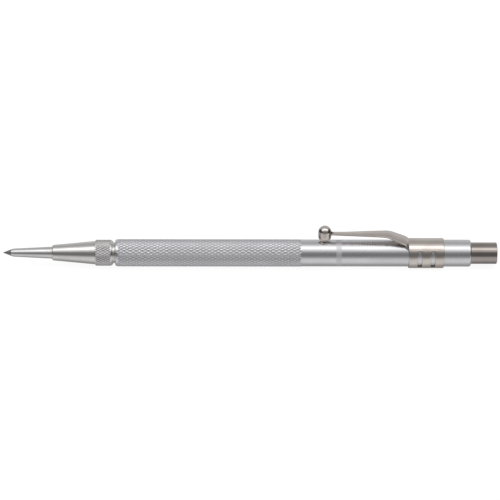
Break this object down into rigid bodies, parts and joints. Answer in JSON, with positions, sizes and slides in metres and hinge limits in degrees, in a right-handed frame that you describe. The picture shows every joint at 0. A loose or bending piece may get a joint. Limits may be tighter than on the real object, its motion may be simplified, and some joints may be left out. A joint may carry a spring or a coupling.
{
  "type": "pocket scriber",
  "caption": "Pocket scriber for metal: carbide point in a tapered collet chuck, knurled round handle, ball-ended pocket clip and a magnetic end.",
  "frame": {"origin": "on the barrel's axis, halfway along the knurled grip", "axes": "+X along the tool from the point toward the magnet, +Z toward the pocket clip, +Y across"},
  "size_m": [0.1457, 0.0088, 0.0131],
  "materials": {
    "carbide": "ground tungsten carbide",
    "stem_steel": "turned and nickel plated",
    "nut_nickel": "turned and nickel plated",
    "collet_brass": "turned brass",
    "chuck_body_nickel": "turned and nickel plated",
    "barrel_aluminium": "bright turned aluminium",
    "magnet_alloy": "polished dark magnet alloy",
    "clip_nickel": "nickel plated spring sheet"
  },
  "bodies": {
    "barrel": {"barrel": "barrel_aluminium", "chuck_body": "chuck_body_nickel", "magnet": "magnet_alloy"},
    "collet": {"collet": "collet_brass"},
    "nut": {"chuck_nut": "nut_nickel"},
    "point": {"point_stem": "stem_steel", "carbide_tip": "carbide"},
    "clip_band": {"clip_band": "clip_nickel"},
    "clip_arm": {"clip_arm": "clip_nickel"}
  },
  "joints": [
    {"name": "collet_slide", "type": "slide", "parent": "barrel", "child": "collet", "axis": [-1, 0, 0], "range_m": [0, 0.003]},
    {"name": "nut_turn", "type": "hinge", "parent": "collet", "child": "nut", "pos_m": [-0.03365, 0, 0], "axis": [-1, 0, 0], "range_deg": [0, 2160]},
    {"name": "stem_slide", "type": "slide", "parent": "collet", "child": "point", "axis": [-1, 0, 0], "range_m": [-0.012, 0.014]},
    {"name": "clip_turn", "type": "hinge", "parent": "barrel", "child": "clip_band", "pos_m": [0.0638, 0, 0], "axis": [1, 0, 0], "continuous": true},
    {"name": "clip_flex", "type": "hinge", "parent": "clip_band", "child": "clip_arm", "pos_m": [0.0545, 0, 0.00611], "axis": [0, 1, 0], "range_deg": [0, 6], "stiffness_Nm_per_rad": 1.5}
  ],
  "couplings": [
    {"joint": "nut_turn", "follows": "collet_slide", "rad_per_m": 12566}
  ]
}
